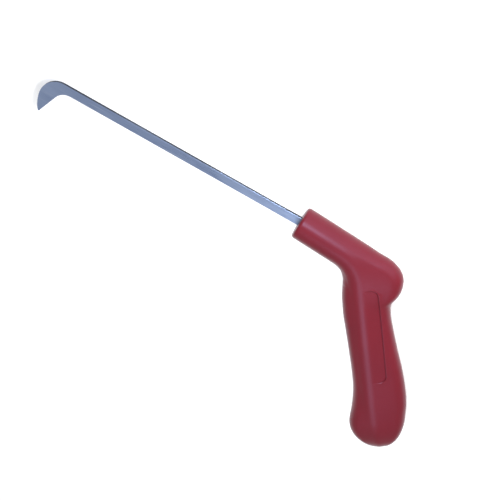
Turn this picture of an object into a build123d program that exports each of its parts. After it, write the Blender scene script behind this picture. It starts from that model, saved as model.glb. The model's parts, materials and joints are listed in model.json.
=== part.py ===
from build123d import *
import os
from math import acos, atan2, cos, hypot, pi, radians, sin

# Hooked hive tool: a flat steel bar with a claw at one end and a pistol grip on the other.
# All sizes are in millimetres. The tool is drawn with the nose of its handle at X = 0, the bar along +X,
# the grip towards +Y and its own mid-plane at Z = 0. At the end it is laid on its right flank, with the
# origin under the middle of its bounding box.

# Steel bar and claw
bar_height = 7.0
bar_thickness = 3.0
bar_edge_radius = 0.3
shoulder_gap = 0.3  # in front of the nose, where the bar steps down to the tang
claw_reach = 230.0  # from the nose of the handle to the back of the claw
claw_back_radius = 16.0
claw_face_radius = 30.0
claw_face_turn = 30.5  # degrees that the back of the claw goes on turning inwards
claw_tip_radius = 0.8
throat_radius = 12.0
throat_turn = 65.0  # degrees between the underside of the bar and the inside of the claw

# Tang, the part of the bar inside the handle
tang_height = 6.0
tang_thickness = 2.4
tang_length = 70.0
tang_clearance = 0.1

# Handle: a spine runs along the ridge of the flanks, straight, round the elbow and straight again
barrel_radius = 13.5
barrel_length = 39.5
barrel_tilt = 3.3  # degrees between the bar and the barrel
bar_offset = 0.5  # how far the bar leaves the nose above the barrel's axis
elbow_radius = 32.0
elbow_turn = 52.7  # degrees
grip_length = 160.0  # from the end of the elbow to the butt
butt_length = 30.0  # the rounded end of the grip
half_thickness = 13.5  # from the mid-plane to the ridge
crest_radius = 10.0  # across the ridge, in the grip
edge_radius = 9.0  # round the finger and palm edges, in the grip
nose_radius = 2.5
nose_crossing = 0.15

# Depth of the finger side in front of the ridge, and of the palm side behind it, at stations along the spine.
# Elbow stations are shares of its turn, and grip stations shares of the grip's length up to the butt.
elbow_stations = [(0.2, 13.4, 13.8), (0.4, 13.4, 16.2), (0.6, 13.9, 20.2), (0.8, 14.3, 28.2), (1.0, 14.5, 33.5)]
heel_stations = [(0.05, 15.7, 33.2), (0.10, 16.8, 29.7), (0.15, 17.2, 22.6)]
grip_stations = [(0.21, 17.3, 21.0), (0.30, 16.6, 21.9), (0.41, 16.0, 23.7), (0.53, 15.5, 26.1)]
bulb_stations = [(0.63, 15.9, 27.3), (0.73, 18.4, 27.2)]
butt_depths = (21.8, 25.2)  # where the rounded end starts
ring_spacing = 8.0  # between the sections that the surface is drawn through
butt_close = 84.0  # degrees of the rounded end before its small flat
section_points = 8  # on each quarter of a section

# Scooped panel on each flank
panel_start = 0.042  # share of the grip's length
panel_end = 0.57
panel_near = 3.5  # behind the ridge, where the scoop fades in
panel_far = 14.5  # behind the ridge, where it ends in a step
panel_depth = 0.7
panel_corner_radius = 5.0
panel_slices = 7
panel_overlap = 1.0  # of the scoop's wedge beyond the panel, across the grip
panel_margin = 0.02  # and beyond its ends, as a share of the grip's length

# Soft skin over a stiff core
skin_wall = 3.0
bond_gap = 0.15  # between the skin and the core that it is moulded over
core_wall = 3.0
rib_thickness = 2.4
rib_shares = (0.17, 0.34, 0.51, 0.68, 0.82)  # of the grip's length
pocket_edge = 2.5  # half height of the pockets at their edges

# Dowels through the tang
dowel_radius = 2.0
dowel_setback = 4.0  # below the core's thickest line, which leaves the dowels inside its sloping flanks
dowel_clearance = 0.1  # in the tang only, because the core grips the dowel
dowel_spots = (0.24, 0.84)  # shares of the tang's length

# Self-tapping screws that close the core, drawn at the mean diameter of their thread
screw_radius = 1.5
screw_head_radius = 2.8
screw_head_height = 2.2
screw_clearance = 0.2
screw_bite = 7.5  # depth in the right half
screw_recess = 1.0  # from the surface of the core down to the head
boss_radius = 4.2
screw_spots = [(0.06, 17.0), (0.25, 3.0), (0.51, 5.0), (0.80, 2.0)]  # share of the grip, depth behind the ridge

elbow_length = elbow_radius * radians(elbow_turn)
elbow_end = barrel_length + elbow_length
butt_start = elbow_end + grip_length - butt_length
beyond = 300.0  # longer than the handle, for cutting it in two


def make_stations():
    """Rows of distance from the nose, finger depth and palm depth."""
    rows = [(share * barrel_length, barrel_radius, barrel_radius) for share in (0.0, 0.5, 1.0)]
    rows += [(barrel_length + elbow_length * share, finger, palm) for share, finger, palm in elbow_stations]
    below = heel_stations + grip_stations + bulb_stations
    rows += [(elbow_end + grip_length * share, finger, palm) for share, finger, palm in below]
    return rows + [(butt_start, *butt_depths)]


stations = make_stations()


def depths_at(distance):
    """Finger and palm depth at a distance from the nose, on smooth curves through the stations."""
    first = max(i for i in range(len(stations) - 1) if stations[i][0] <= distance + 1e-9)
    span = stations[first + 1][0] - stations[first][0]
    t = (distance - stations[first][0]) / span
    depths = []
    for column in (1, 2):
        ends = []
        for i in (first, first + 1):
            low = stations[max(i - 1, 0)]
            high = stations[min(i + 1, len(stations) - 1)]
            ends.append((stations[i][column], (high[column] - low[column]) / (high[0] - low[0]) * span))
        (here, leaving), (there, arriving) = ends
        ease = t * t * (3 - 2 * t)
        bend = t * (1 - t) * (1 - t) * leaving - t * t * (1 - t) * arriving
        depths.append(here + (there - here) * ease + bend)
    return depths


def spine(distance):
    """Point, direction and palm-side normal of the ridge line at a distance from the nose."""
    heading = radians(180.0 - barrel_tilt)
    along = Vector(cos(heading), sin(heading), 0)
    palm = Vector(-sin(heading), cos(heading), 0)
    start = Vector(0, bar_offset, 0)
    if distance <= barrel_length:
        return start + along * distance, along, palm
    centre = start + along * barrel_length - palm * elbow_radius
    heading -= min(distance - barrel_length, elbow_length) / elbow_radius
    along = Vector(cos(heading), sin(heading), 0)
    palm = Vector(-sin(heading), cos(heading), 0)
    return centre + palm * elbow_radius + along * max(0.0, distance - elbow_end), along, palm


def fullness(distance):
    """How far the section has turned from the round barrel to the grip's shape, from 0 to 1."""
    share = max(0.0, min(1.0, (distance - barrel_length) / elbow_length))
    return share * share * (3 - 2 * share)


def quarter(depth, half, crest, edge):
    """Foot and head of the flank, its slope, and the arcs' centres, for a quarter of a section."""
    crest = min(crest, half)
    edge = min(edge, depth, half)
    rise = half - crest
    run = depth - edge
    reach = hypot(rise, run)
    slope = pi / 4
    if reach > 1e-6:
        slope = acos(max(-1.0, min(1.0, (edge - crest) / reach))) - atan2(run, rise)
    slope = max(0.0, min(pi / 2, slope))
    foot = (run + edge * sin(slope), edge * cos(slope))
    head = (crest * sin(slope), rise + crest * cos(slope))
    return crest, edge, rise, run, slope, foot, head


def quarter_points(depth, half, crest, edge, inset):
    """Evenly spaced points from the edge to the crest, each moved in from the surface by the inset."""
    crest, edge, rise, run, slope, foot, head = quarter(depth, half, crest, edge)
    edge_arc = edge * (pi / 2 - slope)
    flank = hypot(head[0] - foot[0], head[1] - foot[1])
    total = edge_arc + flank + crest * slope
    points = []
    for step in range(section_points + 1):
        way = total * step / section_points
        if way <= edge_arc:
            angle = way / edge
            base = (run + edge * cos(angle), edge * sin(angle))
        elif way <= edge_arc + flank:
            angle = pi / 2 - slope
            share = (way - edge_arc) / flank
            base = (foot[0] + (head[0] - foot[0]) * share, foot[1] + (head[1] - foot[1]) * share)
        else:
            angle = pi / 2 - slope + (way - edge_arc - flank) / crest
            base = (crest * cos(angle), rise + crest * sin(angle))
        points.append((base[0] - inset * cos(angle), base[1] - inset * sin(angle)))
    return points


def section(distance, finger, palm, inset, scale=1.0):
    """Closed section of the handle, square to the spine, moved in from the surface by an inset."""
    point, _, out = spine(distance)
    full = fullness(distance)
    crest = (barrel_radius + (crest_radius - barrel_radius) * full) * scale
    edge = (barrel_radius + (edge_radius - barrel_radius) * full) * scale
    centre = point + out * ((palm - finger) / 2 * (1 - scale))
    up = Vector(0, 0, 1)
    quarters = []
    for side, depth in ((1, palm), (-1, finger)):
        outline = quarter_points(depth * scale, half_thickness * scale, crest, edge, inset * scale)
        for face in (1, -1):
            points = [centre + out * (u * side) + up * (z * face) for u, z in outline]
            quarters.append(Spline(points, tangents=(up * face, out * -side)))
    return Face(Wire(quarters))


def envelope(inset):
    """Solid inside the handle's surface by an inset, from the nose to the rounded butt."""
    rings = []
    count = round((butt_start - inset) / ring_spacing)
    for i in range(count + 1):
        distance = inset + (butt_start - inset) * i / count
        rings.append(section(distance, *depths_at(distance), inset))
    count = round(butt_length * 1.3 / ring_spacing)
    for i in range(1, count + 1):
        angle = radians(butt_close) * i / count
        distance = butt_start + (butt_length - inset) * sin(angle)
        rings.append(section(distance, *butt_depths, inset, cos(angle)))
    return loft(rings)


def claw_outline():
    """Outline of the bar in front of the handle, with the claw hooked towards the grip."""
    top = -bar_height / 2
    upper = Line((shoulder_gap, top), (claw_reach - claw_back_radius, top))
    back = JernArc(upper @ 1, upper % 1, claw_back_radius, 90)
    face = JernArc(back @ 1, back % 1, claw_face_radius, claw_face_turn)
    tip = JernArc(face @ 1, face % 1, claw_tip_radius, 90 - claw_face_turn + throat_turn)
    drop = throat_radius * (1 - cos(radians(throat_turn)))
    run = ((tip @ 1).Y - bar_height / 2 - drop) / sin(radians(throat_turn))
    inside = Line(tip @ 1, (tip @ 1) + (tip % 1) * run)
    throat = JernArc(inside @ 1, inside % 1, throat_radius, -throat_turn)
    under = Line(throat @ 1, (shoulder_gap, bar_height / 2))
    shoulder = Line(under @ 1, upper @ 0)
    return make_face([upper, back, face, tip, inside, throat, under, shoulder])


def dowel_places():
    """Where the two dowels cross the tang."""
    return [Vector(-tang_length * share, 0, 0) for share in dowel_spots]


def hook_bar():
    """Bar, claw and tang, with the dowel holes drilled through the tang."""
    bar = extrude(claw_outline(), bar_thickness / 2, both=True)
    rims = bar.faces().filter_by(Axis.Z).edges()
    bar = fillet([edge for edge in rims if edge.center().X > shoulder_gap + 0.01], bar_edge_radius)
    size = (tang_length + shoulder_gap, tang_height, tang_thickness)
    bar += Pos(shoulder_gap, 0, 0) * Box(*size, align=(Align.MAX, Align.CENTER, Align.CENTER))
    for place in dowel_places():
        bar -= Pos(place) * Cylinder(dowel_radius + dowel_clearance, bar_thickness)
    return bar


def grip_point(share, depth):
    """Point of the mid-plane at a share of the grip's length and a depth behind the ridge."""
    point, _, out = spine(elbow_end + grip_length * share)
    return point + out * depth


def panel_slice(share, side):
    """Slice of a scoop's wedge, whose floor drops away from the flank to its full depth at the far step."""
    distance = elbow_end + grip_length * share
    point, _, out = spine(distance)
    _, palm = depths_at(distance)
    _, _, _, _, slope, _, head = quarter(palm, half_thickness, crest_radius, edge_radius)
    fall = sin(slope) / cos(slope) + panel_depth / (panel_far - panel_near)
    start = head[1] - (panel_near - head[0]) * sin(slope) / cos(slope)
    low, high = panel_near - panel_overlap, panel_far + panel_overlap
    top = half_thickness * 2
    floor = [(low, start + panel_overlap * fall), (high, start - (high - panel_near) * fall)]
    corners = floor + [(high, top), (low, top)]
    return make_face(Polyline(*[point + out * u + Vector(0, 0, z * side) for u, z in corners], close=True))


def panel_cutter(side):
    """Scoop of one flank: a wedge, cut to the plan of the panel with its far corners round."""
    slices = [panel_start - panel_margin + (panel_end - panel_start + 2 * panel_margin) * i / panel_slices
              for i in range(panel_slices + 1)]
    wedge = loft([panel_slice(share, side) for share in slices])
    ends = [(panel_start, panel_near), (panel_start, panel_far), (panel_end, panel_far), (panel_end, panel_near)]
    plan = make_face(Polyline(*[grip_point(share, depth) for share, depth in ends], close=True))
    far = [grip_point(share, panel_far) for share in (panel_start, panel_end)]
    corners = [v for v in plan.vertices() if min((v.center() - at).length for at in far) < 0.01]
    plan = fillet(corners, panel_corner_radius)
    return wedge & extrude(plan, half_thickness * 3, dir=(0, 0, side))


def nose_trim():
    """Ring that rounds the rim of the nose. Its arc crosses both surfaces instead of touching them."""
    rim = barrel_radius - nose_radius
    start = (-nose_crossing, rim)
    middle = (nose_radius * 0.3, barrel_radius - nose_radius * 0.3)
    end = (nose_radius, barrel_radius + nose_crossing)
    arc = ThreePointArc(start, middle, end)
    out = Polyline(end, (nose_radius, barrel_radius + nose_radius), (-nose_radius, barrel_radius + nose_radius),
                   (-nose_radius, rim), start)
    ring = revolve(make_face([arc, out]), Axis.X)
    return Pos(0, bar_offset, 0) * Rot(0, 0, 180 - barrel_tilt) * ring


def grip_skin(bar):
    """Soft skin: round nose, two scooped panels, hollow for the core and a slot for the bar."""
    skin = envelope(0.0) - nose_trim() - panel_cutter(1) - panel_cutter(-1)
    return skin - envelope(skin_wall) - bar


def screw_axes():
    """Where the screws cross the mid-plane."""
    return [grip_point(share, depth) for share, depth in screw_spots]


def surface_height(share, depth):
    """Height of the core's surface above a point of the mid-plane in the grip."""
    distance = elbow_end + grip_length * share
    _, palm = depths_at(distance) if distance <= butt_start else butt_depths
    inner = (palm - skin_wall, half_thickness - skin_wall, crest_radius - skin_wall, edge_radius - skin_wall)
    crest, _, rise, _, slope, _, head = quarter(*inner)
    if depth <= head[0]:
        return rise + (crest * crest - depth * depth) ** 0.5
    return head[1] - (depth - head[0]) * sin(slope) / cos(slope)


def head_heights():
    """Height of the top of each screw's head."""
    heights = []
    for share, depth in screw_spots:
        heights.append(surface_height(share, depth + screw_head_radius) - screw_recess)
    return heights


def core_screws():
    """Four screws, each a pan head on a threaded shank."""
    screws = []
    for place, height in zip(screw_axes(), head_heights()):
        shank_length = height - screw_head_height + screw_bite
        seat = Pos(place.X, place.Y, height - screw_head_height)
        base = (Align.CENTER, Align.CENTER, Align.MIN)
        head = Cylinder(screw_head_radius, screw_head_height, align=base)
        head = fillet(head.edges().filter_by(GeomType.CIRCLE).sort_by(Axis.Z)[-1], screw_head_height / 3)
        socket = Pos(0, 0, screw_head_height) * Box(screw_radius * 2.2, screw_radius / 2, screw_radius)
        cross = Rot(0, 0, 90) * socket
        shank = Cylinder(screw_radius, shank_length, align=(Align.CENTER, Align.CENTER, Align.MAX))
        screws.append(seat * (head + shank - socket - cross))
    return screws


def dowel_half_length():
    """From the mid-plane to the end of a dowel."""
    return half_thickness - skin_wall - dowel_setback


def dowel(place):
    """Plain dowel with broken ends."""
    pin = Cylinder(dowel_radius, 2 * dowel_half_length())
    return Pos(place) * chamfer(pin.edges().filter_by(GeomType.CIRCLE), dowel_radius / 6)


def pocket(start, end):
    """Hollow between two ribs of the core, with a roof that falls from the ridge to both edges."""
    begin, along, out = spine(elbow_end + grip_length * start)
    stops = [elbow_end + grip_length * share for share in (start, end)]
    finger, palm = [min(depths) - skin_wall - core_wall for depths in zip(*[depths_at(stop) for stop in stops])]
    top = half_thickness - skin_wall - core_wall
    roof = [(palm, pocket_edge), (0, top), (-finger, pocket_edge)]
    roof += [(u, -z) for u, z in reversed(roof)]
    outline = make_face(Polyline(*[begin + out * u + Vector(0, 0, z) for u, z in roof], close=True))
    length = grip_length * (end - start) - rib_thickness
    hollow = Pos(along * (rib_thickness / 2)) * extrude(outline, length, dir=along)
    for place in screw_axes():
        hollow -= Pos(place) * Cylinder(boss_radius, beyond)
    return hollow


def core():
    """Whole core, hollowed between its ribs, with the tang's channel, dowel holes and screw holes."""
    body = envelope(skin_wall + bond_gap)
    for start, end in zip(rib_shares, rib_shares[1:]):
        body -= pocket(start, end)
    gap = 2 * tang_clearance
    channel = (tang_length + tang_clearance + shoulder_gap, tang_height + gap, tang_thickness + gap)
    body -= Pos(shoulder_gap, 0, 0) * Box(*channel, align=(Align.MAX, Align.CENTER, Align.CENTER))
    for place in dowel_places():
        body -= Pos(place) * Cylinder(dowel_radius, 2 * dowel_half_length())
    up = (Align.CENTER, Align.CENTER, Align.MIN)
    for place, height in zip(screw_axes(), head_heights()):
        seat = Pos(place.X, place.Y, height - screw_head_height)
        body -= seat * Cylinder(screw_head_radius + screw_clearance, beyond, align=up)
        body -= Pos(place) * Cylinder(screw_radius + screw_clearance, beyond, align=up)
        body -= Pos(place.X, place.Y, -screw_bite) * Cylinder(screw_radius, screw_bite, align=up)
    return body


def half_space(side):
    """Block that holds everything on one side of the mid-plane."""
    return Pos(0, 0, side * beyond / 2) * Box(3 * beyond, 3 * beyond, beyond)


def build():
    """All nodes of the tool, by name, before it is laid on its flank."""
    bar = hook_bar()
    body = core()
    front, rear = dowel_places()
    return {
        "hook_bar": bar,
        "grip_skin": grip_skin(bar),
        "core_left": body & half_space(1),
        "core_right": body & half_space(-1),
        "tang_dowel_front": dowel(front),
        "tang_dowel_rear": dowel(rear),
        "core_screws": Compound(children=core_screws()),
    }


def main():
    """Lay the tool on its right flank over the origin, and write one file per node."""
    nodes = build()
    box = nodes["hook_bar"].bounding_box().add(nodes["grip_skin"].bounding_box())
    middle = box.center()
    lay = Pos(-middle.X, -middle.Y, -box.min.Z)
    os.makedirs("parts", exist_ok=True)
    for name, shape in nodes.items():
        export_step(lay * shape, f"parts/{name}.step")


main()
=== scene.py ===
"""Looks of a hooked hive tool: a satin steel bar with a claw, and a soft red grip over a stiff core."""

import json
import logging
from dataclasses import dataclass
from enum import Enum
from math import acos, atan2, cos, hypot, pi, radians, sin

import bpy
import numpy as np
from mathutils import Matrix, Vector


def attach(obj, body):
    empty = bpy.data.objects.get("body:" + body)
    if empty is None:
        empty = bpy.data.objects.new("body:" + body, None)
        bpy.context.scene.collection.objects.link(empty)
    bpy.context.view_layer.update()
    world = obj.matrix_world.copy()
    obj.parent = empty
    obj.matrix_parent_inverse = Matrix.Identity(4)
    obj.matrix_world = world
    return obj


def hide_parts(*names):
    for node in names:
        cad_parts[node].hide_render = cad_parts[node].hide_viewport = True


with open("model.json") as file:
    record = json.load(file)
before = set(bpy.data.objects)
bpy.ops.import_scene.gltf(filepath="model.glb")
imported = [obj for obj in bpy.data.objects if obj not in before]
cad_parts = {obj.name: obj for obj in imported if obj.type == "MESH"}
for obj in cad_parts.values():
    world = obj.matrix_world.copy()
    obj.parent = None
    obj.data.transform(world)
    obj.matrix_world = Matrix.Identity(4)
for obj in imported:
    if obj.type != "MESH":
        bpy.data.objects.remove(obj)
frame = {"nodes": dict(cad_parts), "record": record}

LOG = logging.getLogger("hive_tool")
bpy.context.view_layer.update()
BODY = "root"
HALVINGS = 30  # steps of a search by halving

Rgb = tuple[float, float, float]
Triple = tuple[float, float, float]


def ease(share: float) -> float:
    """Smooth step from 0 to 1, held at its ends."""
    share = max(0.0, min(1.0, share))
    return share * share * (3 - 2 * share)


class Slot(Enum):
    """Material slots of the record."""

    BAR = "bar_steel"
    SKIN = "red_vinyl"
    CORE = "core_nylon"
    PINS = "pin_steel"


class NodeKit:
    """Small helper that adds nodes to a material and links them by socket name."""

    def __init__(self, name: str) -> None:
        """Start an empty node tree that ends in a Principled shader.

        Args:
            name: Name of the material.
        """
        self.material = bpy.data.materials.new(name)
        self.material.use_nodes = True
        self.tree = self.material.node_tree
        self.shader = self.tree.nodes["Principled BSDF"]
        self.place = self.add("ShaderNodeTexCoord").outputs["Object"]

    def add(self, kind: str, **settings: object) -> bpy.types.Node:
        """Add a node and set its properties.

        Args:
            kind: Blender's name of the node's type.
            **settings: Properties to set on the node.

        Returns:
            The new node.
        """
        node = self.tree.nodes.new(kind)
        for key, value in settings.items():
            setattr(node, key, value)
        return node

    def link(self, source: bpy.types.NodeSocket, node: bpy.types.Node, socket: str | int) -> None:
        """Link an output to a named or numbered input of a node."""
        self.tree.links.new(source, node.inputs[socket])

    def stretch(self, scale: Triple) -> bpy.types.NodeSocket:
        """Object coordinates scaled along each axis.

        Args:
            scale: Factor along X, Y and Z, in features per metre.

        Returns:
            The scaled coordinates.
        """
        mapping = self.add("ShaderNodeMapping")
        mapping.inputs["Scale"].default_value = scale
        self.link(self.place, mapping, "Vector")
        return mapping.outputs["Vector"]

    def noise(self, scale: Triple, detail: float, roughness: float = 0.5,
              distortion: float = 0.0) -> bpy.types.NodeSocket:
        """Fractal noise in object space.

        Args:
            scale: Features per metre along each axis.
            detail: Octaves.
            roughness: Weight of the finer octaves.
            distortion: How far the pattern is warped.

        Returns:
            The noise, about 0 to 1.
        """
        node = self.add("ShaderNodeTexNoise")
        node.inputs["Scale"].default_value = 1.0
        node.inputs["Detail"].default_value = detail
        node.inputs["Roughness"].default_value = roughness
        node.inputs["Distortion"].default_value = distortion
        self.link(self.stretch(scale), node, "Vector")
        return node.outputs["Fac"]

    def span(self, value: bpy.types.NodeSocket, low: float, high: float, to_low: float,
             to_high: float) -> bpy.types.NodeSocket:
        """Map a range of a value to another range, held at its ends.

        Args:
            value: The value.
            low: Start of its range.
            high: End of its range.
            to_low: Result at the start.
            to_high: Result at the end.

        Returns:
            The mapped value.
        """
        node = self.add("ShaderNodeMapRange")
        for socket, number in zip(("From Min", "From Max", "To Min", "To Max"), (low, high, to_low, to_high)):
            node.inputs[socket].default_value = number
        self.link(value, node, "Value")
        return node.outputs["Result"]

    def math(self, operation: str, a: bpy.types.NodeSocket,
             b: bpy.types.NodeSocket | float) -> bpy.types.NodeSocket:
        """Combine two values.

        Args:
            operation: Blender's name of the operation.
            a: First value.
            b: Second value, which may be a plain number.

        Returns:
            The combined value.
        """
        node = self.add("ShaderNodeMath", operation=operation)
        self.link(a, node, 0)
        if isinstance(b, (int, float)):
            node.inputs[1].default_value = b
        else:
            self.link(b, node, 1)
        return node.outputs["Value"]

    def blend(self, factor: bpy.types.NodeSocket, low: Rgb, high: Rgb) -> bpy.types.NodeSocket:
        """Colour between two constant colours.

        Args:
            factor: 0 for the first colour, 1 for the second.
            low: First colour.
            high: Second colour.

        Returns:
            The colour.
        """
        node = self.add("ShaderNodeMix", data_type="RGBA")
        node.inputs["A"].default_value = (*low, 1.0)
        node.inputs["B"].default_value = (*high, 1.0)
        self.link(factor, node, "Factor")
        return node.outputs["Result"]

    def layer(self, factor: bpy.types.NodeSocket, under: bpy.types.NodeSocket,
              over: Rgb) -> bpy.types.NodeSocket:
        """Constant colour laid over a varying one.

        Args:
            factor: How much of the upper colour shows.
            under: The varying colour.
            over: The upper colour.

        Returns:
            The colour.
        """
        node = self.add("ShaderNodeMix", data_type="RGBA")
        node.inputs["B"].default_value = (*over, 1.0)
        self.link(under, node, "A")
        self.link(factor, node, "Factor")
        return node.outputs["Result"]

    def bump(self, height: bpy.types.NodeSocket, distance: float, strength: float,
             under: bpy.types.NodeSocket | None = None) -> bpy.types.NodeSocket:
        """Bump from a height, over another bump if there is one.

        Args:
            height: Height, 0 to 1.
            distance: Depth that a height of 1 stands for, in metres.
            strength: Share of the effect.
            under: Normal of the bump below.

        Returns:
            The new normal.
        """
        node = self.add("ShaderNodeBump")
        node.inputs["Distance"].default_value = distance
        node.inputs["Strength"].default_value = strength
        self.link(height, node, "Height")
        if under is not None:
            self.link(under, node, "Normal")
        return node.outputs["Normal"]

    def edge_wear(self, radius: float) -> bpy.types.NodeSocket:
        """Mask that is near 1 where the surface turns sharply, such as on a corner.

        Args:
            radius: How far from the corner the mask reaches, in metres.

        Returns:
            The mask, from 0 on flats to 1 on corners.
        """
        bevel = self.add("ShaderNodeBevel", samples=4)
        bevel.inputs["Radius"].default_value = radius
        geometry = self.add("ShaderNodeNewGeometry")
        dot = self.add("ShaderNodeVectorMath", operation="DOT_PRODUCT")
        self.link(bevel.outputs["Normal"], dot, 0)
        self.link(geometry.outputs["Normal"], dot, 1)
        return self.span(dot.outputs["Value"], 0.97, 0.78, 0.0, 1.0)


@dataclass(frozen=True)
class SatinSteel:
    """Ground flat bar: a fine grain along the bar, dark scale and painted dark reflection on the sheared
    edges, and handling marks.
    """

    name: str = "satin_ground_steel"
    face: Rgb = (0.195, 0.250, 0.395)
    face_light: Rgb = (0.245, 0.305, 0.455)
    # Dark tones of the narrow edges: mill scale together with painted dark reflection of the surroundings.
    scale_and_reflection_dark: Rgb = (0.006, 0.007, 0.012)
    scale_and_reflection_light: Rgb = (0.045, 0.055, 0.080)
    stain: Rgb = (0.110, 0.130, 0.180)
    worn: Rgb = (0.420, 0.480, 0.600)
    grain: Triple = (60.0, 5200.0, 5200.0)
    cloud: Triple = (22.0, 70.0, 70.0)
    spots: Triple = (95.0, 240.0, 240.0)
    scratches: Triple = (35.0, 1900.0, 1900.0)
    scale_and_reflection_patches: Triple = (30.0, 160.0, 160.0)
    grain_depth: float = 0.000006
    spot_depth: float = 0.00002
    wear_reach: float = 0.00025
    roughness: tuple[float, float] = (0.26, 0.36)
    edge_roughness: float = 0.30
    metal: tuple[float, float] = (0.92, 0.15)
    gloss: float = 0.15

    def build(self) -> bpy.types.Material:
        """Make the material.

        Returns:
            The material.
        """
        kit = NodeKit(self.name)
        grain = kit.noise(self.grain, 3.0, 0.6)
        cloud = kit.noise(self.cloud, 3.0, 0.55, 0.4)
        spots = kit.noise(self.spots, 4.0, 0.65, 0.8)
        face = kit.blend(kit.span(cloud, 0.35, 0.68, 0.0, 1.0), self.face, self.face_light)
        face = kit.layer(kit.span(spots, 0.69, 0.78, 0.0, 0.42), face, self.stain)
        scratches = kit.span(kit.noise(self.scratches, 2.0, 0.4, 0.3), 0.66, 0.72, 0.0, 0.30)
        face = kit.layer(scratches, face, self.worn)

        normal = kit.add("ShaderNodeNewGeometry")
        upright = kit.add("ShaderNodeSeparateXYZ")
        kit.link(normal.outputs["Normal"], upright, 0)
        flatness = kit.math("ABSOLUTE", upright.outputs["Z"], 0.0)
        # The narrow edges get the dark tone: mill scale and painted dark reflection, in patches.
        edge = kit.span(flatness, 0.80, 0.35, 0.0, 1.0)
        scale_and_reflection_tone = kit.blend(kit.span(kit.noise(self.scale_and_reflection_patches, 4.0), 0.35, 0.7, 0.0, 1.0),
                               self.scale_and_reflection_dark, self.scale_and_reflection_light)
        mix = kit.add("ShaderNodeMix", data_type="RGBA")
        kit.link(face, mix, "A")
        kit.link(scale_and_reflection_tone, mix, "B")
        kit.link(edge, mix, "Factor")
        worn = kit.math("MULTIPLY", kit.edge_wear(self.wear_reach), kit.span(spots, 0.45, 0.70, 0.0, 0.35))
        colour = kit.layer(worn, mix.outputs["Result"], self.worn)
        kit.link(colour, kit.shader, "Base Color")

        rough = kit.math("ADD", kit.span(grain, 0.3, 0.7, *self.roughness),
                         kit.span(cloud, 0.3, 0.7, -0.03, 0.05))
        rough = kit.math("ADD", rough, kit.span(edge, 0.0, 1.0, 0.0, self.edge_roughness))
        kit.link(rough, kit.shader, "Roughness")
        kit.link(kit.span(edge, 0.0, 1.0, *self.metal), kit.shader, "Metallic")
        kit.shader.inputs["Specular IOR Level"].default_value = self.gloss
        normal_out = kit.bump(grain, self.grain_depth, 0.5)
        kit.link(kit.bump(spots, self.spot_depth, 0.25, normal_out), kit.shader, "Normal")
        return kit.material


@dataclass(frozen=True)
class SoftVinyl:
    """Satin red vinyl skin: even moulded colour, a very fine skin texture, faint handling marks and painted
    shade in grooves and creases.
    """

    name: str = "red_soft_vinyl"
    red: Rgb = (0.112, 0.0088, 0.0140)
    red_deep: Rgb = (0.102, 0.0078, 0.0125)
    scuff: Rgb = (0.115, 0.014, 0.021)
    # Painted shade colour for grooves and creases.
    cavity: Rgb = (0.050, 0.0040, 0.0060)
    highlight_tint: Rgb = (0.62, 0.66, 1.0)
    gloss: float = 0.20
    cloud: Triple = (26.0, 26.0, 26.0)
    pores: Triple = (1500.0, 1500.0, 1500.0)
    scuff_grain: Triple = (300.0, 300.0, 120.0)
    pore_depth: float = 0.000010
    roughness: tuple[float, float] = (0.33, 0.38)
    glow: float = 0.06
    glow_reach: Triple = (0.0016, 0.0005, 0.0004)

    def build(self) -> bpy.types.Material:
        """Make the material.

        Returns:
            The material.
        """
        kit = NodeKit(self.name)
        cloud = kit.noise(self.cloud, 3.0, 0.5, 0.5)
        fine = kit.noise(self.pores, 2.0, 0.6)
        scuffs = kit.noise(self.scuff_grain, 5.0, 0.7, 1.0)
        colour = kit.blend(kit.span(cloud, 0.30, 0.70, 0.0, 1.0), self.red, self.red_deep)
        colour = kit.layer(kit.span(scuffs, 0.70, 0.80, 0.0, 0.22), colour, self.scuff)
        # Painted shade: darker where the surface is hollow (low pointiness), such as in the panel's groove.
        cavity = kit.add("ShaderNodeNewGeometry").outputs["Pointiness"]
        colour = kit.layer(kit.span(cavity, 0.485, 0.44, 0.0, 0.8), colour, self.cavity)
        kit.link(colour, kit.shader, "Base Color")
        rough = kit.math("ADD", kit.span(cloud, 0.3, 0.7, *self.roughness),
                         kit.span(fine, 0.3, 0.7, -0.03, 0.03))
        rough = kit.math("ADD", rough, kit.span(scuffs, 0.62, 0.8, 0.0, 0.10))
        kit.link(rough, kit.shader, "Roughness")
        kit.shader.inputs["Specular Tint"].default_value = (*self.highlight_tint, 1.0)
        kit.shader.inputs["Specular IOR Level"].default_value = self.gloss
        kit.shader.inputs["Subsurface Weight"].default_value = self.glow
        kit.shader.inputs["Subsurface Radius"].default_value = self.glow_reach
        kit.shader.inputs["Subsurface Scale"].default_value = 1.0
        kit.link(kit.bump(fine, self.pore_depth, 0.45), kit.shader, "Normal")
        return kit.material


@dataclass(frozen=True)
class MouldedNylon:
    """Black glass-filled nylon of the core, with spark texture and pale flow marks."""

    name: str = "moulded_nylon"
    black: Rgb = (0.022, 0.022, 0.024)
    grey: Rgb = (0.050, 0.050, 0.053)
    flow: Triple = (40.0, 120.0, 120.0)
    spark: Triple = (2400.0, 2400.0, 2400.0)
    spark_depth: float = 0.00002
    roughness: tuple[float, float] = (0.42, 0.60)

    def build(self) -> bpy.types.Material:
        """Make the material.

        Returns:
            The material.
        """
        kit = NodeKit(self.name)
        flow = kit.noise(self.flow, 4.0, 0.6, 1.2)
        spark = kit.noise(self.spark, 2.0, 0.7)
        colour = kit.blend(kit.span(flow, 0.35, 0.75, 0.0, 1.0), self.black, self.grey)
        kit.link(colour, kit.shader, "Base Color")
        kit.link(kit.span(spark, 0.3, 0.7, *self.roughness), kit.shader, "Roughness")
        kit.link(kit.bump(spark, self.spark_depth, 0.6), kit.shader, "Normal")
        return kit.material


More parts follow.
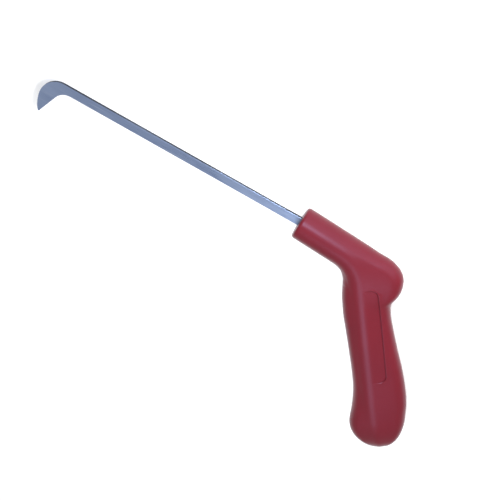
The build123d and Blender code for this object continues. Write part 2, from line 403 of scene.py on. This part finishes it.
@dataclass(frozen=True)
class PlatedSteel:
    """Turned and zinc-plated pins and screws."""

    name: str = "zinc_plated_steel"
    bright: Rgb = (0.62, 0.61, 0.57)
    dull: Rgb = (0.42, 0.42, 0.41)
    turning: Triple = (300.0, 300.0, 5200.0)
    bloom: Triple = (420.0, 420.0, 420.0)
    turning_depth: float = 0.000008
    roughness: tuple[float, float] = (0.22, 0.42)

    def build(self) -> bpy.types.Material:
        """Make the material.

        Returns:
            The material.
        """
        kit = NodeKit(self.name)
        turning = kit.noise(self.turning, 2.0, 0.5)
        bloom = kit.noise(self.bloom, 4.0, 0.6)
        colour = kit.blend(kit.span(bloom, 0.35, 0.7, 0.0, 1.0), self.bright, self.dull)
        kit.link(colour, kit.shader, "Base Color")
        kit.link(kit.span(turning, 0.3, 0.7, *self.roughness), kit.shader, "Roughness")
        kit.shader.inputs["Metallic"].default_value = 1.0
        kit.link(kit.bump(turning, self.turning_depth, 0.5), kit.shader, "Normal")
        return kit.material


@dataclass(frozen=True)
class HandleShape:
    """Surface of the handle, drawn square to a spine that runs along the ridge of the flanks.

    The spine is straight through the barrel, turns round the elbow and is straight again in the grip. Each
    station gives the depth of the finger side in front of the ridge and of the palm side behind it.
    """

    nose: Vector
    barrel_radius: float = 0.0135
    barrel_length: float = 0.0395
    barrel_tilt: float = radians(3.3)
    bar_offset: float = 0.0005
    elbow_radius: float = 0.032
    elbow_turn: float = radians(52.7)
    grip_length: float = 0.160
    butt_length: float = 0.030
    half_thickness: float = 0.0135
    palm_radii: tuple[float, float] = (0.0135, 0.009)
    finger_radii: tuple[float, float] = (0.0135, 0.0115)
    elbow_stations: tuple = ((0.2, 0.0134, 0.0142), (0.4, 0.0134, 0.0167), (0.6, 0.0139, 0.0211),
                             (0.8, 0.0143, 0.0289), (1.0, 0.0145, 0.0337))
    grip_stations: tuple = ((0.05, 0.0157, 0.0332), (0.10, 0.0168, 0.0297), (0.15, 0.0172, 0.0226),
                            (0.21, 0.0173, 0.0210), (0.30, 0.0166, 0.0219), (0.41, 0.0160, 0.0237),
                            (0.53, 0.0155, 0.0261), (0.63, 0.0159, 0.0273), (0.73, 0.0184, 0.0272))
    butt_depths: tuple = (0.0218, 0.0252)

    @property
    def elbow_length(self) -> float:
        """Length of the spine round the elbow."""
        return self.elbow_radius * self.elbow_turn

    @property
    def elbow_end(self) -> float:
        """Distance from the nose to the end of the elbow."""
        return self.barrel_length + self.elbow_length

    @property
    def butt_start(self) -> float:
        """Distance from the nose to the start of the rounded end."""
        return self.elbow_end + self.grip_length - self.butt_length

    def stations(self) -> list[tuple[float, float, float]]:
        """Stations along the whole spine.

        Returns:
            Rows of distance from the nose, finger depth and palm depth.
        """
        rows = [(share * self.barrel_length, self.barrel_radius, self.barrel_radius)
                for share in (0.0, 0.5, 1.0)]
        rows += [(self.barrel_length + self.elbow_length * share, finger, palm)
                 for share, finger, palm in self.elbow_stations]
        rows += [(self.elbow_end + self.grip_length * share, finger, palm)
                 for share, finger, palm in self.grip_stations]
        return rows + [(self.butt_start, *self.butt_depths)]

    def depths_at(self, distance: float) -> tuple[float, float]:
        """Finger and palm depth at a distance from the nose, on smooth curves through the stations.

        Args:
            distance: Distance along the spine.

        Returns:
            Finger depth and palm depth.
        """
        rows = self.stations()
        distance = min(distance, rows[-1][0])
        first = max(i for i in range(len(rows) - 1) if rows[i][0] <= distance + 1e-9)
        span = rows[first + 1][0] - rows[first][0]
        t = (distance - rows[first][0]) / span
        depths = []
        for column in (1, 2):
            ends = []
            for i in (first, first + 1):
                low, high = rows[max(i - 1, 0)], rows[min(i + 1, len(rows) - 1)]
                ends.append((rows[i][column], (high[column] - low[column]) / (high[0] - low[0]) * span))
            (here, leaving), (there, arriving) = ends
            bend = t * (1 - t) * (1 - t) * leaving - t * t * (1 - t) * arriving
            depths.append(here + (there - here) * ease(t) + bend)
        return depths[0], depths[1]

    def spine(self, distance: float) -> tuple[Vector, Vector, Vector]:
        """Point, direction and palm-side normal of the spine.

        Args:
            distance: Distance from the nose.

        Returns:
            The point, the direction towards the butt, and the direction towards the palm side.
        """
        heading = pi - self.barrel_tilt
        along = Vector((cos(heading), sin(heading), 0))
        palm = Vector((-sin(heading), cos(heading), 0))
        start = self.nose + Vector((0, self.bar_offset, 0))
        if distance <= self.barrel_length:
            return start + along * distance, along, palm
        centre = start + along * self.barrel_length - palm * self.elbow_radius
        heading -= min(distance - self.barrel_length, self.elbow_length) / self.elbow_radius
        along = Vector((cos(heading), sin(heading), 0))
        palm = Vector((-sin(heading), cos(heading), 0))
        return centre + palm * self.elbow_radius + along * max(0.0, distance - self.elbow_end), along, palm

    @property
    def end_slopes(self) -> tuple[float, float]:
        """Slopes of the finger and palm depth where the rounded end starts."""
        (near, *before), (far, *after) = self.stations()[-2:]
        return tuple((b - a) / (far - near) for a, b in zip(before, after))

    def fullness(self, distance: float) -> float:
        """How far the section has turned from the round barrel to the grip's shape, from 0 to 1."""
        return ease((distance - self.barrel_length) / self.elbow_length)


@dataclass(frozen=True)
class Quarter:
    """Quarter of a section: an arc round the edge, a flat flank and an arc over the crest."""

    depth: float
    half: float
    crest: float
    edge: float

    def solve(self) -> tuple[float, float, float, float, float]:
        """Work out the arcs.

        Returns:
            Crest radius, edge radius, height and depth of their centres, and slope of the flank.
        """
        crest = min(self.crest, self.half)
        edge = min(self.edge, self.depth, self.half)
        rise, run = self.half - crest, self.depth - edge
        reach = hypot(rise, run)
        slope = pi / 4
        if reach > 1e-6:
            slope = acos(max(-1.0, min(1.0, (edge - crest) / reach))) - atan2(run, rise)
        return crest, edge, rise, run, max(0.0, min(pi / 2, slope))

    def lengths(self) -> tuple[float, float, float]:
        """Measure the outline.

        Returns:
            Lengths of the edge arc, the flank and the crest arc.
        """
        crest, edge, rise, run, slope = self.solve()
        foot = (run + edge * sin(slope), edge * cos(slope))
        head = (crest * sin(slope), rise + crest * cos(slope))
        return edge * (pi / 2 - slope), hypot(head[0] - foot[0], head[1] - foot[1]), crest * slope

    def at(self, way: float) -> tuple[float, float, float, float]:
        """Point and outward normal at a distance from the edge towards the crest.

        Args:
            way: Distance along the outline from the edge.

        Returns:
            Depth and height of the point, and depth and height of the normal.
        """
        crest, edge, rise, run, slope = self.solve()
        edge_arc, flank, _ = self.lengths()
        foot = (run + edge * sin(slope), edge * cos(slope))
        head = (crest * sin(slope), rise + crest * cos(slope))
        if way <= edge_arc:
            angle = way / edge
            return run + edge * cos(angle), edge * sin(angle), cos(angle), sin(angle)
        if way <= edge_arc + flank:
            share = (way - edge_arc) / flank
            angle = pi / 2 - slope
            return (foot[0] + (head[0] - foot[0]) * share, foot[1] + (head[1] - foot[1]) * share,
                    cos(angle), sin(angle))
        angle = pi / 2 - slope + (way - edge_arc - flank) / crest
        return crest * cos(angle), rise + crest * sin(angle), cos(angle), sin(angle)

    def way_at(self, depth: float) -> float:
        """Distance from the edge at which the outline is this deep behind the ridge.

        Args:
            depth: Depth behind the ridge.

        Returns:
            Distance along the outline from the edge.
        """
        low, high = 0.0, sum(self.lengths())
        for _ in range(HALVINGS):
            middle = (low + high) / 2
            if self.at(middle)[0] > depth:
                low = middle
            else:
                high = middle
        return (low + high) / 2


@dataclass(frozen=True)
class FlankPanel:
    """Shallow scoop on each flank: it fades in behind the ridge and ends in a step near the palm edge."""

    start: float = 0.0068
    end: float = 0.0910
    near: float = 0.0035
    far: float = 0.0145
    depth: float = 0.0007
    corner: float = 0.0052
    step: float = 0.0004
    fine: float = 0.0003
    groove: float = 0.0004
    rim: float = 0.00025
    groove_spot: float = 0.6   # place and half width of the groove and of the rim, in steps
    groove_reach: float = 1.2
    rim_spot: float = 1.2
    rim_reach: float = 2.0

    def drop(self, below_elbow: float, depth: float) -> float:
        """How far the surface drops at a place on the flank.

        Args:
            below_elbow: Distance along the spine from the end of the elbow.
            depth: Depth behind the ridge.

        Returns:
            Drop along the inward normal.
        """
        middle = (self.start + self.end) / 2
        across = depth - (self.far - self.corner)
        down = abs(below_elbow - middle) - ((self.end - self.start) / 2 - self.corner)
        outside = hypot(max(across, 0.0), max(down, 0.0)) + min(max(across, down), 0.0) - self.corner
        inside = ease(0.5 - outside / self.step)
        fade = max(0.0, min(1.0, (depth - self.near) / (self.far - self.near)))
        swell = max(0.0, 1 - abs(outside - self.step * self.rim_spot) / (self.step * self.rim_reach)) * fade
        cut = abs(outside + self.step * self.groove_spot) / (self.step * self.groove_reach)
        cut = max(0.0, 1 - cut) * fade
        return self.depth * inside * fade + self.groove * cut - self.rim * swell * (1 - inside)


@dataclass
class GripSkin:
    """Soft skin over the handle: round nose with a slot for the bar, scooped flanks and a round butt."""

    shape: HandleShape
    panel: FlankPanel
    wall: float = 0.0029
    nose_radius: float = 0.0025
    nose_rings: int = 8
    ring_gap: float = 0.0016
    butt_rings: int = 20
    edge_columns: int = 7
    flank_columns: int = 5
    band: tuple[float, float] = (0.0080, 0.0152)
    slot_size: tuple[float, float] = (0.0071, 0.0031)
    slot_lip: float = 0.0006
    slot_gap: float = 0.00005
    slot_power: int = 8        # how square the slot's corners are
    panel_margin: float = 0.0006
    plain_marks: tuple[float, float] = (0.30, 0.60)
    face_steps: tuple[float, ...] = (0.0, 0.06, 0.16, 0.34, 0.6, 0.85)
    name: str = "grip_skin_moulded"

    def ring_places(self) -> list[float]:
        """Places of the rings, which stand close together at the panel's ends.

        Returns:
            Distances from the nose, up to the rounded end.
        """
        places = list(np.arange(self.nose_radius, self.shape.butt_start, self.ring_gap))
        places.append(self.shape.butt_start)
        margin = self.panel_margin
        for low, high in ((self.panel.start - margin, self.panel.start + self.panel.corner + margin),
                          (self.panel.end - self.panel.corner - margin, self.panel.end + margin)):
            low, high = low + self.shape.elbow_end, high + self.shape.elbow_end
            places = [p for p in places if not low - self.panel.fine < p < high + self.panel.fine]
            places += list(np.arange(low, high, self.panel.fine))
        return sorted(places)

    def column_ways(self, quarter: Quarter, full: float, scale: float) -> list[float]:
        """Distances from the edge at which the columns cross a quarter section.

        Args:
            quarter: The quarter section.
            full: 0 in the round barrel, 1 in the grip.
            scale: Size of the section, which is smaller in the rounded end.

        Returns:
            Distances along the outline, from the edge to the crest.
        """
        total = sum(quarter.lengths())
        near, far = [depth * scale for depth in self.band]
        fine_count = round((self.band[1] - self.band[0]) / self.panel.fine)
        marks = [tuple(share * total for share in self.plain_marks)]
        if quarter.depth > far:
            marks.append((quarter.way_at(far), quarter.way_at(near)))
        else:
            marks.append(marks[0])
        low, high = [a + (b - a) * full for a, b in zip(*marks)]
        ways = [low * i / self.edge_columns for i in range(self.edge_columns)]
        ways += [low + (high - low) * i / fine_count for i in range(fine_count)]
        ways += [high + (total - high) * i / self.flank_columns for i in range(self.flank_columns)]
        return ways + [total]

    def ring(self, distance: float, inset: float, angle: float = 0.0, place: float | None = None,
             panel: bool = True) -> list[Vector]:
        """Points of one section.

        Args:
            distance: Distance from the nose that the section's size is taken at.
            inset: How far the section is moved in from the surface.
            angle: How far round the rounded end the section lies, in radians.
            place: Distance at which the section stands, if it isn't the first.
            panel: Whether the scoops are cut.

        Returns:
            Points round the section.
        """
        shape = self.shape
        point, _, out = shape.spine(distance if place is None else place)
        finger, palm = shape.depths_at(distance)
        full = shape.fullness(distance)
        scale = cos(angle)
        drift = (palm - finger) / 2 * (1 - scale)
        if angle > 0.0:
            run_on = shape.butt_length * sin(angle) * (1 - sin(angle))
            finger = finger * scale + shape.end_slopes[0] * run_on
            palm = palm * scale + shape.end_slopes[1] * run_on
        sides = []
        for side, depth, radii in ((1, palm, shape.palm_radii), (-1, finger, shape.finger_radii)):
            crest, edge = [(shape.barrel_radius + (radius - shape.barrel_radius) * full) * scale
                           for radius in radii]
            quarter = Quarter(depth, shape.half_thickness * scale, crest, edge)
            points = []
            for way in self.column_ways(quarter, full, scale):
                u, z, nu, nz = quarter.at(way)
                drop = inset * scale
                if panel and side > 0 and angle == 0.0:
                    drop += self.panel.drop(distance - shape.elbow_end, u)
                points.append((side * (u - nu * drop), z - nz * drop))
            sides.append(points)
        back, front = sides
        upper = back + list(reversed(front[:-1]))
        outline = upper + [(u, -z) for u, z in reversed(upper[1:-1])]
        return [point + out * (u + drift) + Vector((0, 0, z)) for u, z in outline]

    def slot_ring(self, place: float, grow: float) -> list[Vector]:
        """Points round the bar's slot, as many as in a section.

        Args:
            place: Distance from the nose.
            grow: How far the ring stands outside the slot.

        Returns:
            Points round the slot, starting at the palm side.
        """
        like = self.ring(self.nose_radius, 0.0)
        base, _, out = self.shape.spine(self.nose_radius)
        at, _, _ = self.shape.spine(place)
        middle = Vector((at.x, self.shape.nose.y, self.shape.nose.z))
        half = (self.slot_size[0] / 2 + grow, self.slot_size[1] / 2 + grow)
        points = []
        for p in like:
            u, z = (p - base).dot(out), (p - base).z
            angle = atan2(z, u)
            c, s = cos(angle), sin(angle)
            power = self.slot_power
            reach = (abs(c / half[0]) ** power + abs(s / half[1]) ** power) ** (-1 / power)
            points.append(middle + out * (c * reach) + Vector((0, 0, s * reach)))
        return points

    def surface(self, inset: float) -> list[list[Vector]]:
        """Rings of the outside, or of the cavity, from the nose to the butt.

        Args:
            inset: 0 for the outside, or the wall for the cavity.

        Returns:
            The rings.
        """
        rings = []
        if inset == 0.0:
            for i in range(self.nose_rings):
                angle = pi / 2 * i / self.nose_rings
                rings.append(self.ring(0.0, self.nose_radius * (1 - sin(angle)),
                                       place=self.nose_radius * (1 - cos(angle))))
        places = [p for p in self.ring_places() if p > inset]
        if inset > 0.0:
            places = [inset] + places
        rings += [self.ring(p, inset, panel=inset == 0.0) for p in places]
        length = self.shape.butt_length
        for i in range(1, self.butt_rings):
            angle = pi / 2 * i / self.butt_rings
            rings.append(self.ring(self.shape.butt_start, inset, angle,
                                   self.shape.butt_start + (length - inset) * sin(angle)))
        return rings

    def build(self) -> bpy.types.Object:
        """Build the closed skin.

        Returns:
            Its object.
        """
        outer = self.surface(0.0)
        inner = self.surface(self.wall)
        face = [self.mix(self.slot_ring(0.0, self.slot_lip), outer[0], t) for t in self.face_steps]
        lip = self.slot_lip
        throat = [self.slot_ring(lip * (1 - cos(a)) + self.slot_gap, lip * (1 - sin(a)))
                  for a in (pi / 2, pi / 3, pi / 6)]
        back = [self.mix(self.slot_ring(self.wall, 0.0), inner[0], t) for t in (0.0, 0.5)]
        rings = list(reversed(inner)) + list(reversed(back)) + throat + face + outer
        mesh = bpy.data.meshes.new(self.name)
        count = len(outer[0])
        vertices = [tuple(p) for ring in rings for p in ring]
        faces = []
        for i in range(len(rings) - 1):
            for j in range(count):
                k = (j + 1) % count
                faces.append((i * count + j, i * count + k, (i + 1) * count + k, (i + 1) * count + j))
        for i, point, flip in ((0, self.pole(self.wall), True), (len(rings) - 1, self.pole(0.0), False)):
            vertices.append(tuple(point))
            top = len(vertices) - 1
            for j in range(count):
                k = (j + 1) % count
                loop = (i * count + j, i * count + k, top)
                faces.append(loop[::-1] if flip else loop)
        mesh.from_pydata(vertices, [], faces)
        mesh.update()
        for polygon in mesh.polygons:
            polygon.use_smooth = True
        skin = bpy.data.objects.new(self.name, mesh)
        bpy.context.scene.collection.objects.link(skin)
        LOG.info("%s: %d vertices, %d faces", self.name, len(mesh.vertices), len(mesh.polygons))
        return skin

    def pole(self, inset: float) -> Vector:
        """Last point of the rounded end.

        Args:
            inset: 0 for the outside, or the wall for the cavity.

        Returns:
            The point.
        """
        finger, palm = self.shape.butt_depths
        point, _, out = self.shape.spine(self.shape.butt_start + self.shape.butt_length - inset)
        return point + out * ((palm - finger) / 2)

    @staticmethod
    def mix(a: list[Vector], b: list[Vector], t: float) -> list[Vector]:
        """Ring between two rings."""
        return [p.lerp(q, t) for p, q in zip(a, b)]

    def dress(self, skin: bpy.types.Object, material: bpy.types.Material) -> None:
        """Give the skin its finish and its place in the frame.

        Args:
            skin: The built skin.
            material: Its finish.
        """
        skin.data.materials.append(material)
        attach(skin, BODY)
        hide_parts("grip_skin")


def finish_nodes(nodes: tuple[str, ...], slot: Slot, material: bpy.types.Material) -> None:
    """Put one finish on nodes that keep their own meshes.

    Args:
        nodes: Names of the nodes.
        slot: Material slot of the nodes.
        material: The finish.
    """
    for name in nodes:
        node = frame["nodes"][name]
        node.data.materials.clear()
        node.data.materials.append(material)
        LOG.info("%s: %s in slot %s", name, material.name, slot.value)


@dataclass(frozen=True)
class HookBar:
    """Flat steel bar with the claw, mounted by the middle of its broad face."""

    thickness: float = 0.003
    mount_to_nose: float = 0.110038
    nodes: tuple[str, ...] = ("hook_bar",)

    def nose(self) -> Vector:
        """Point where the middle of the bar meets the handle.

        Returns:
            The point, from the mount on the bar's face.
        """
        x, y, z = frame["record"]["mounts"][0]["pos_m"]
        return Vector((x - self.mount_to_nose, y, z - self.thickness / 2))

    def dress(self) -> None:
        """Give the bar its finish."""
        finish_nodes(self.nodes, Slot.BAR, SatinSteel().build())


@dataclass(frozen=True)
class HandleCore:
    """Stiff core in two halves, with the pins and screws that hold it and the bar together."""

    halves: tuple[str, ...] = ("core_left", "core_right")
    pins: tuple[str, ...] = ("tang_dowel_front", "tang_dowel_rear", "core_screws")

    def dress(self) -> None:
        """Give the halves, pins and screws their finishes."""
        finish_nodes(self.halves, Slot.CORE, MouldedNylon().build())
        finish_nodes(self.pins, Slot.PINS, PlatedSteel().build())


@dataclass(frozen=True)
class Lamp:
    """Square area light that faces a point of the tool."""

    name: str
    direction: Triple
    distance: float
    size: float
    power: float
    colour: Rgb = (1.0, 1.0, 1.0)

    def hang(self, aim: Vector) -> None:
        """Hang the light and turn it towards a point.

        Args:
            aim: Point that it faces.
        """
        data = bpy.data.lights.new(self.name, "AREA")
        data.shape = "SQUARE"
        data.size = self.size
        data.energy = self.power
        data.color = self.colour
        lamp = bpy.data.objects.new(self.name, data)
        bpy.context.scene.collection.objects.link(lamp)
        direction = Vector(self.direction).normalized()
        lamp.location = aim + direction * self.distance
        lamp.rotation_euler = direction.to_track_quat("Z", "Y").to_euler()


@dataclass
class Studio:
    """Pale floor, soft lights and a camera that looks down on the left flank from above the bar's back."""

    shape: HandleShape
    floor_size: float = 6.0
    floor_tone: Rgb = (0.97, 0.97, 0.97)
    floor_shade: float = 0.985
    world_strength: float = 0.75
    lens: float = 83.95
    sensor: float = 36.0
    clip_start: float = 0.01
    camera_from_nose: Triple = (0.0231658, -0.4178679, 0.8179117)
    camera_tilt: float = radians(29.5)
    camera_roll: float = radians(29.44)
    elbow_from_nose: Triple = (-0.05, 0.015, 0.0)
    grip_aim: float = 0.08
    elbow_lamps: tuple[Lamp, ...] = (
        Lamp("top_light", (-0.20, -0.72, 0.56), 0.36, 0.50, 2.3),
        Lamp("front_light", (0.13, -0.49, 0.86), 0.42, 0.09, 1.25, (0.94, 0.97, 1.0)),
        Lamp("elbow_light", (-0.22, 0.26, 0.92), 0.45, 0.26, 0.16, (0.90, 0.95, 1.0)),
    )
    grip_lamp: Lamp = Lamp("grip_light", (-0.16, 0.39, 0.90), 0.42, 0.20, 0.75, (0.90, 0.95, 1.0))

    def floor(self) -> None:
        """Lay the floor that the tool rests on."""
        half = self.floor_size / 2
        mesh = bpy.data.meshes.new("floor")
        corners = [(-half, -half, 0), (half, -half, 0), (half, half, 0), (-half, half, 0)]
        mesh.from_pydata(corners, [], [(0, 1, 2, 3)])
        floor = bpy.data.objects.new("floor", mesh)
        bpy.context.scene.collection.objects.link(floor)
        kit = NodeKit("pale_floor")
        tone = kit.noise((8.0, 8.0, 8.0), 3.0)
        low = tuple(c * self.floor_shade for c in self.floor_tone)
        kit.link(kit.blend(tone, self.floor_tone, low), kit.shader, "Base Color")
        kit.shader.inputs["Roughness"].default_value = 0.85
        kit.shader.inputs["Specular IOR Level"].default_value = 0.2
        floor.data.materials.append(kit.material)

    def camera(self) -> None:
        """Set up the camera from the nose of the handle."""
        data = bpy.data.cameras.new("camera")
        data.lens = self.lens
        data.sensor_width = self.sensor
        data.clip_start = self.clip_start
        camera = bpy.data.objects.new("camera", data)
        bpy.context.scene.collection.objects.link(camera)
        back = Vector((0, -sin(self.camera_tilt), cos(self.camera_tilt)))
        side = Vector((1, 0, 0))
        fall = back.cross(side)
        right = -cos(self.camera_roll) * side - sin(self.camera_roll) * fall
        up = sin(self.camera_roll) * side - cos(self.camera_roll) * fall
        place = self.shape.nose + Vector(self.camera_from_nose)
        camera.matrix_world = Matrix((
            (right.x, up.x, back.x, place.x),
            (right.y, up.y, back.y, place.y),
            (right.z, up.z, back.z, place.z),
            (0, 0, 0, 1),
        ))
        bpy.context.scene.camera = camera

    def lights(self) -> None:
        """Light the room evenly, and hang lamps that face the elbow and the grip."""
        world = bpy.data.worlds.new("studio")
        bpy.context.scene.world = world
        world.use_nodes = True
        background = world.node_tree.nodes["Background"]
        background.inputs["Color"].default_value = (1.0, 1.0, 1.0, 1.0)
        background.inputs["Strength"].default_value = self.world_strength
        for lamp in self.elbow_lamps:
            lamp.hang(self.shape.nose + Vector(self.elbow_from_nose))
        self.grip_lamp.hang(self.shape.spine(self.shape.elbow_end + self.grip_aim)[0])
        bpy.context.scene.view_settings.view_transform = "Standard"
        bpy.context.scene.view_settings.look = "None"


def main() -> None:
    """Build the tool piece by piece, then the studio round it."""
    logging.basicConfig(level=logging.INFO, format="%(name)s: %(message)s")
    bar = HookBar()
    shape = HandleShape(bar.nose())
    studio = Studio(shape)
    studio.camera()
    studio.floor()
    studio.lights()
    skin = GripSkin(shape, FlankPanel())
    skin.dress(skin.build(), SoftVinyl().build())
    bar.dress()
    HandleCore().dress()


if __name__ == "__main__":
    main()
